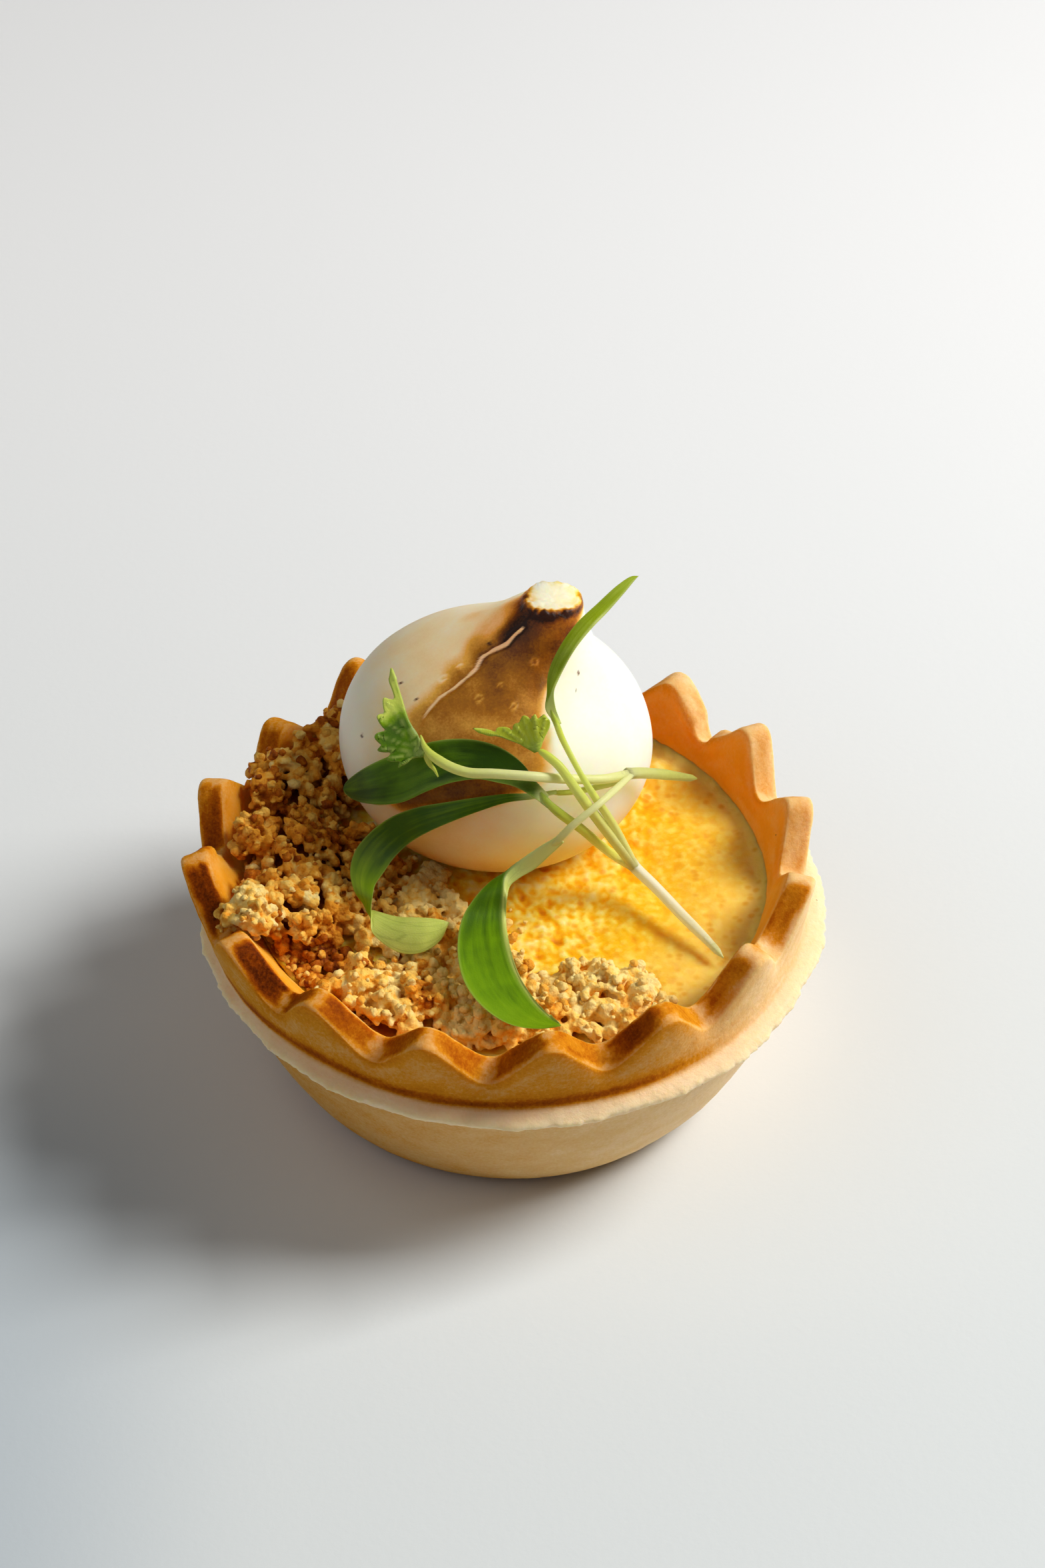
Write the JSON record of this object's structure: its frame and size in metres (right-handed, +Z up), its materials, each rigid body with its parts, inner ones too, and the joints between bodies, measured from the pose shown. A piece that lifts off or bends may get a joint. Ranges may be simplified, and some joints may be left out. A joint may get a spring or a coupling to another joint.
{
  "type": "lemon tartlet",
  "caption": "Small round pastry case with a pleated rim, filled with lemon custard and topped with a toasted meringue kiss, biscuit crumble and herb sprigs.",
  "frame": {"origin": "middle of the flat round base, on the surface that it stands on", "axes": "+Z up through the tip side of the filling, -Y towards the front where the custard and the crumble meet, +X to the right"},
  "size_m": [0.0536, 0.0525, 0.0418],
  "materials": {
    "pastry": "matte baked shortcrust, browned on the pleats and pale on the lower wall",
    "custard": "satin lemon custard with fine pores",
    "crumble": "dull crumbly biscuit grains",
    "meringue": "satin white meringue, torched brown down one side",
    "herb": "satin green leaf with pale stems"
  },
  "bodies": {
    "root": {"pastry_case": "pastry", "lemon_custard": "custard", "biscuit_crumble": "crumble", "meringue_kiss": "meringue", "herb_sprig_right": "herb", "herb_sprig_left": "herb"}
  },
  "joints": []
}
